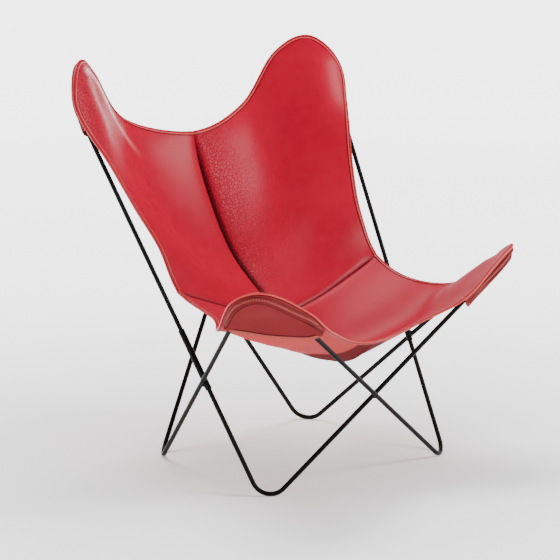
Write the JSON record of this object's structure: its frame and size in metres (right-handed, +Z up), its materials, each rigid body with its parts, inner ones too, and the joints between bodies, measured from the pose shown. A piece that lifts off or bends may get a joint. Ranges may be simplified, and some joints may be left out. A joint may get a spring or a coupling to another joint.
{
  "type": "butterfly sling chair",
  "caption": "Low lounge chair: a knock-down frame of bent round steel bar whose four raised corners carry a sewn leather sling by pockets.",
  "frame": {"origin": "on the floor, under the middle of the chair's outline seen from above", "axes": "+Z up; the sitter faces -Y; +X to the right of someone who looks at the chair's front"},
  "size_m": [0.7894, 0.733, 0.8787],
  "materials": {
    "black_steel": "satin black powder coat",
    "red_leather": "semi-gloss, fine pebble grain",
    "pocket_leather": "matt, darker red, back of the hide out"
  },
  "bodies": {
    "root": {"base_bar_left": "black_steel", "base_bar_right": "black_steel", "back_hoop_left": "black_steel", "back_hoop_right": "black_steel", "side_sleeve_left": "black_steel", "side_sleeve_right": "black_steel", "back_sleeve_left": "black_steel", "back_sleeve_right": "black_steel", "weld_front": "black_steel", "weld_back": "black_steel", "weld_left": "black_steel", "weld_right": "black_steel", "back_panel_left": "red_leather", "back_panel_right": "red_leather", "seat_panel_left": "red_leather", "seat_panel_right": "red_leather", "back_binding_left": "red_leather", "back_binding_right": "red_leather", "seat_binding_left": "red_leather", "seat_binding_right": "red_leather", "back_pocket_left": "pocket_leather", "back_pocket_right": "pocket_leather", "seat_pocket_left": "pocket_leather", "seat_pocket_right": "pocket_leather"}
  },
  "joints": []
}
